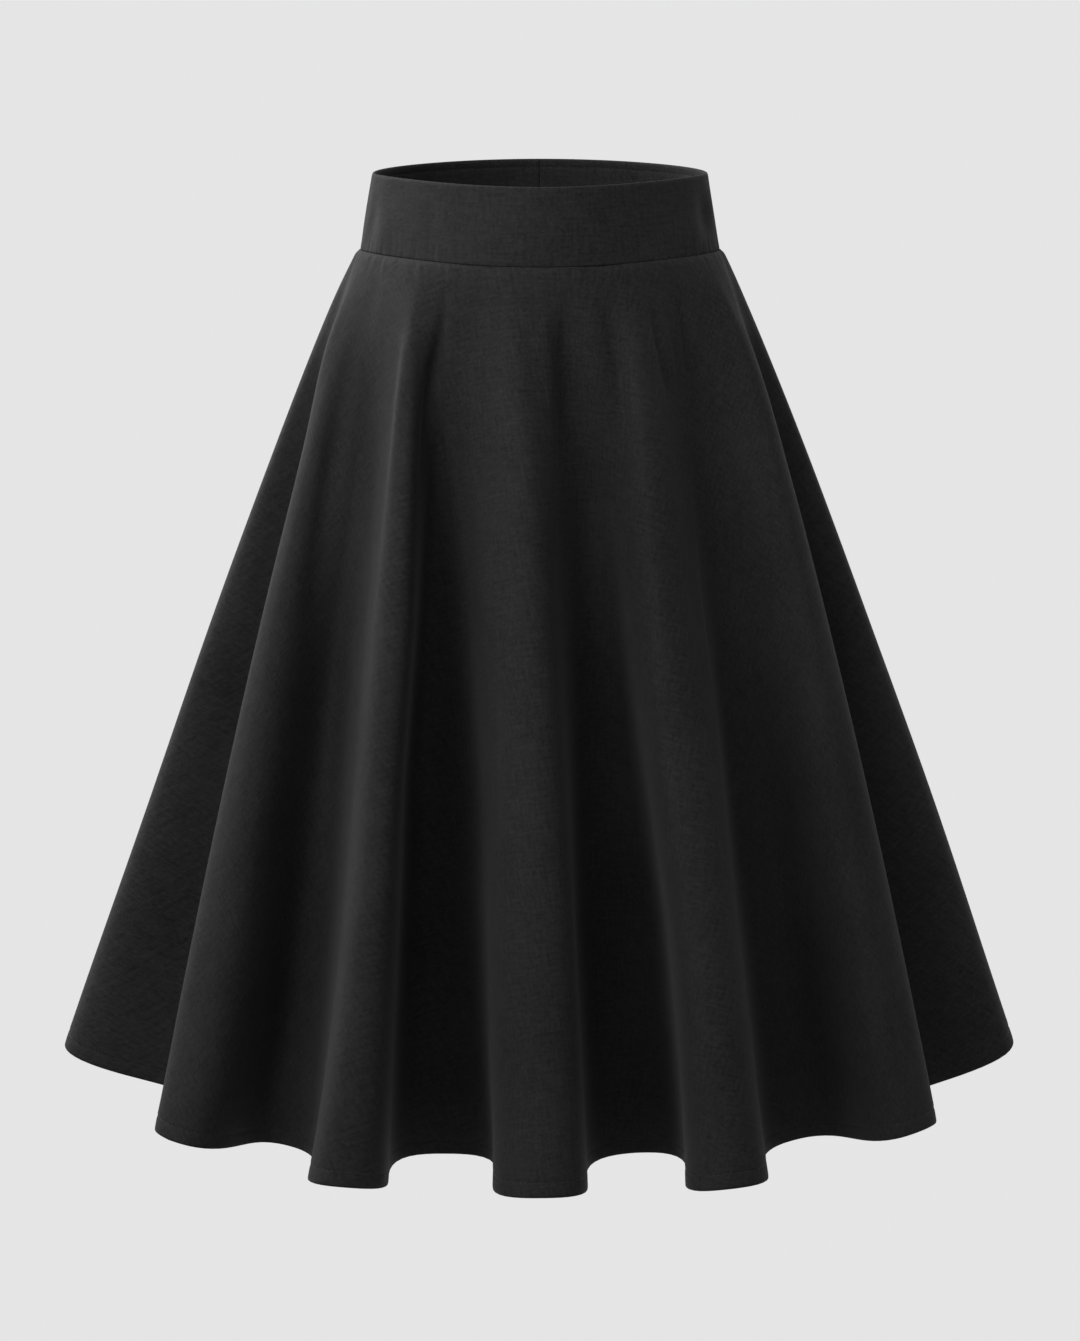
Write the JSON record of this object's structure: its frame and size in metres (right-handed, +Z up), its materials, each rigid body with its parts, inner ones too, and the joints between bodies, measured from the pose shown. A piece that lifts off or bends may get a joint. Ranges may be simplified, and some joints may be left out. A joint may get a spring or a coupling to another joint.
{
  "type": "a-line skirt",
  "caption": "Flared knee-length skirt with a wide high waistband, filled out as worn, open at the waist and hem, hanging in deep soft folds.",
  "frame": {"origin": "middle of the waist at the level of the waistband's top edge, where the wearer holds the skirt", "axes": "+Z up, -Y towards the front, +X to the right of someone who looks at the front"},
  "size_m": [0.718, 0.518, 0.7071],
  "materials": {
    "black_cloth": "fine plain weave, matt with a faint soft sheen"
  },
  "bodies": {
    "root": {"skirt_front": "black_cloth", "skirt_back": "black_cloth", "waistband_front": "black_cloth", "waistband_back_left": "black_cloth", "waistband_back_right": "black_cloth"}
  },
  "joints": []
}
